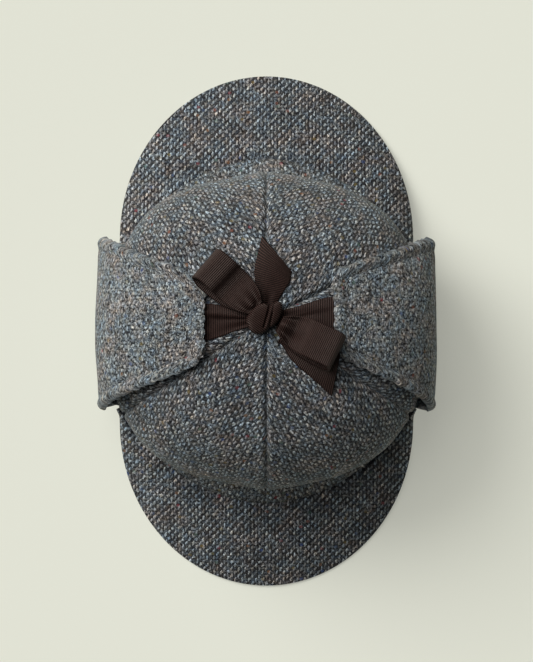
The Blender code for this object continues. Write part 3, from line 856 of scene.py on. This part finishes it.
for name, flap_name in (("right_tie", "right_ear_flap"), ("left_tie", "left_ear_flap")):
    lie = FLAP_LIES[flap_name]
    side = lie[0]
    tip = flap_place(*lie)(0.5, 1.0)
    start = Vector((tip.x + side * TIE_TUCK, tip.y - RIBBON_WIDTH / 16))
    end = Vector((KNOT_CENTRE[0] + side * KNOT_SIZE[0] * 0.3, KNOT_CENTRE[1]))
    tie = cloth_grid("grosgrain_" + name, TIE_ACROSS, TIE_ALONG, tie_place(side, start, end))
    finish_ribbon(tie, name, TIE_ACROSS, TIE_ALONG)

# Tails: the two free ends of the same ribbon, each cut on a slant. They come out from under the knot, widen
# from its pleats and lie on the crown, a little curled.
TAIL_ACROSS, TAIL_ALONG = 20, 60
TAILS = {
    # tail: its route in plan from under the knot, and how far its slanting cut shortens one edge
    "back_tail": (((0.0005, 0.0135), (0.0022, 0.0250), (0.0040, 0.0360), (0.0062, 0.0455)), 0.0085),
    "front_tail": (((0.0085, -0.0025), (0.0165, -0.0065), (0.0285, -0.0150), (0.0410, -0.0258)), -0.0065),
}
TAIL_CURL, TAIL_PLEAT = 0.0012, 0.0008


def tail_place(route, cut):
    route_rows = [(k / 3, x, y) for k, (x, y) in enumerate(route)]

    def place(across, along):
        here, ahead, behind = (
            Vector((curve_through(route_rows, 1, t), curve_through(route_rows, 2, t)))
            for t in (along, min(along + 0.02, 1.0), max(along - 0.02, 0.0))
        )
        forward = (ahead - behind).normalized()
        sideways = Vector((forward.y, -forward.x))
        u = 2 * across - 1
        half_width = mix(GATHERED_WIDTH, RIBBON_WIDTH, smooth_step(along / 0.6)) / 2
        spot = here + sideways * u * half_width - forward * u * cut * along**3
        curl = TAIL_CURL * along * (1 - u * u)
        pleat = TAIL_PLEAT * (1 - smooth_step(along / 0.45)) * (0.5 - 0.5 * math.cos(4 * math.pi * across))
        return Vector((spot.x, spot.y, on_crown(spot.x, spot.y) + curl + pleat))

    return place


for name, (route, cut) in TAILS.items():
    tail = cloth_grid("grosgrain_" + name, TAIL_ACROSS, TAIL_ALONG, tail_place(route, cut))
    finish_ribbon(tail, name, TAIL_ACROSS, TAIL_ALONG)

# Loops: the same ribbon, folded back on itself. The lower ply lies flat, and the upper one swells from the
# pleats at the knot, which alone holds them.
LOOP_HEIGHT, LOOP_PLEAT = 0.0095, 0.0014
LOOP_ACROSS, LOOP_ALONG = 20, 120
LOWER_PLY_ROWS = (
    # share of the loop's reach, lift share, width share, share of the splay
    (1.00, 0.60, 1.00, 0.4),
    (0.98, 0.20, 1.00, 0.6),
    (0.88, 0.03, 1.00, 0.9),
    (0.68, 0.00, 1.00, 1.0),
    (0.48, 0.00, 0.92, 1.0),
    (0.28, 0.03, 0.66, 1.0),
    (0.12, 0.12, 0.30, 1.0),
    (0.00, 0.22, 0.00, 1.0),
)
RIGHT_LOOP_ROWS = (
    # the same for its upper ply, which swells by the knot and then dips
    (0.00, 0.50, 0.10, 0.0),
    (0.10, 0.66, 0.42, 0.0),
    (0.20, 0.70, 0.70, 0.0),
    (0.30, 0.61, 0.88, 0.0),
    (0.40, 0.44, 0.96, 0.0),
    (0.48, 0.38, 1.00, 0.0),
    (0.57, 0.52, 1.00, 0.0),
    (0.67, 0.82, 1.00, 0.0),
    (0.78, 0.98, 1.00, 0.0),
    (0.92, 1.00, 1.00, 0.1),
)
LEFT_LOOP_ROWS = (
    # and for the left loop's, which dips beside the knot
    (0.00, 0.50, 0.10, 0.0),
    (0.09, 0.62, 0.36, 0.0),
    (0.18, 0.44, 0.62, 0.0),
    (0.27, 0.32, 0.82, 0.0),
    (0.38, 0.52, 0.94, 0.0),
    (0.50, 0.80, 1.00, 0.0),
    (0.62, 0.95, 1.00, 0.0),
    (0.75, 1.02, 1.00, 0.0),
    (0.86, 1.02, 1.00, 0.0),
    (0.95, 0.92, 1.00, 0.1),
)
LOOPS = {
    # loop: its direction in degrees from +X, its reach, the splay of its lower ply, and its upper ply
    "right_loop": (136.3, 0.0484, 5.5, RIGHT_LOOP_ROWS),
    "left_loop": (-25.2, 0.0460, -4.0, LEFT_LOOP_ROWS),
}


def loop_place(degrees, reach, splay_degrees, upper_rows):
    direction = math.radians(degrees)
    both_plies = upper_rows + LOWER_PLY_ROWS
    loop_rows = [(k / (len(both_plies) - 1), *row) for k, row in enumerate(both_plies)]

    def place(across, along):
        share, lift, width, splay = (curve_through(loop_rows, k, along) for k in range(1, 5))
        z = KNOT_BASE + RIBBON_THICKNESS / 2 + lift * LOOP_HEIGHT
        flat = math.hypot(math.cos(direction) / (KNOT_SIZE[0] / 2), math.sin(direction) / (KNOT_SIZE[1] / 2))
        level = min(0.95, abs(z - KNOT_MIDDLE) / (KNOT_SIZE[2] / 2))
        away = mix(math.sqrt(1 - level**2) / flat, reach, share)
        turned = direction + math.radians(splay_degrees) * splay * smooth_step(share * 2)
        u = 2 * across - 1
        half_width = mix(GATHERED_WIDTH, RIBBON_WIDTH, min(1.0, max(0.0, width))) / 2
        x = KNOT_CENTRE[0] + away * math.cos(turned) - u * half_width * math.sin(turned)
        y = KNOT_CENTRE[1] + away * math.sin(turned) + u * half_width * math.cos(turned)
        gathered = (1 - smooth_step(share / 0.50)) * smooth_step(share / 0.08) if along < 0.5 else 0.0
        pleat = LOOP_PLEAT * gathered * math.cos(2 * math.pi * (1.6 * across + 0.25 * share + 0.1))
        return Vector((x, y, z + pleat))

    return place


for name, lie in LOOPS.items():
    loop = cloth_grid("grosgrain_" + name, LOOP_ACROSS, LOOP_ALONG, loop_place(*lie))
    finish_ribbon(loop, name, LOOP_ACROSS, LOOP_ALONG)

# Knot: the same ribbon drawn tight round the middle of the bow. Its turn passes over leaning to the left, and
# folds in a lip and two creases.
KNOT_LOBES = (
    # middle, half sizes, lean in degrees: the turn's wide face, its far side, its lip, and its lower corner
    ((-0.0038, -0.0004, 0.0000), (0.0073, 0.0094, 0.0048), 24.0),
    ((0.0040, 0.0022, -0.0003), (0.0043, 0.0082, 0.0046), 24.0),
    ((0.0014, 0.0012, 0.0002), (0.0014, 0.0084, 0.0055), 16.0),
    ((-0.0062, -0.0002, -0.0004), (0.0064, 0.0050, 0.0043), -30.0),
)
KNOT_CREASES = (
    # top and bottom in plan from the knot's middle, and depth
    ((0.0018, 0.0083), (-0.0019, -0.0052), 0.0015),
    ((0.0032, 0.0030), (0.0016, -0.0048), 0.0009),
)
CREASE_HALF_WIDTH = 0.00048
KNOT_FACE, KNOT_RISE = 0.0036, 1.25
KNOT_SLANT = (0.82, 0.57)


def lobe_reach(ray, lobe):
    """How far a ray from the knot's middle runs before it leaves a lobe."""
    middle, half_sizes, lean = lobe
    turn = math.radians(lean)

    def turned(v):
        x = v[0] * math.cos(turn) - v[1] * math.sin(turn)
        y = v[0] * math.sin(turn) + v[1] * math.cos(turn)
        return Vector((x / half_sizes[0], y / half_sizes[1], v[2] / half_sizes[2]))

    along, start = turned(ray), turned(middle)
    square, across = along.dot(along), along.dot(start)
    inside = across**2 - square * (start.dot(start) - 1)
    return (across + math.sqrt(inside)) / square if inside > 0 else 0.0


def crease_depth(x, y):
    depth = 0.0
    for (x1, y1), (x2, y2), deep in KNOT_CREASES:
        length = math.hypot(x2 - x1, y2 - y1)
        t = min(1.0, max(0.0, ((x - x1) * (x2 - x1) + (y - y1) * (y2 - y1)) / length**2))
        off = math.hypot(x - mix(x1, x2, t), y - mix(y1, y2, t))
        depth = max(depth, deep * bell(off, CREASE_HALF_WIDTH))
    return depth


bpy.ops.object.select_all(action="DESELECT")
bpy.ops.mesh.primitive_uv_sphere_add(segments=144, ring_count=96, radius=0.5)
knot = bpy.context.object
knot.name = "grosgrain_knot"
knot.data.uv_layers.active.name = "cloth"
for vert in knot.data.vertices:
    ray = vert.co.normalized()
    spot = ray * max(lobe_reach(ray, lobe) for lobe in KNOT_LOBES)
    if spot.z > 0:
        spot.z = KNOT_FACE * math.tanh(spot.z / KNOT_FACE) * KNOT_RISE
        spot.z -= min(spot.z, crease_depth(spot.x, spot.y))
    vert.co = spot
slant_cos, slant_sin = KNOT_SLANT
for corner in knot.data.loops:
    spot = knot.data.vertices[corner.vertex_index].co
    on_ribbon = (slant_cos * spot.x - slant_sin * spot.y, slant_sin * spot.x + slant_cos * spot.y)
    knot.data.uv_layers.active.data[corner.index].uv = on_ribbon
for vert in knot.data.vertices:
    vert.co += Vector((*KNOT_CENTRE, KNOT_MIDDLE))
knot.data.shade_smooth()
knot.data.materials.append(GROSGRAIN)
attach(knot, "root")
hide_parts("knot")
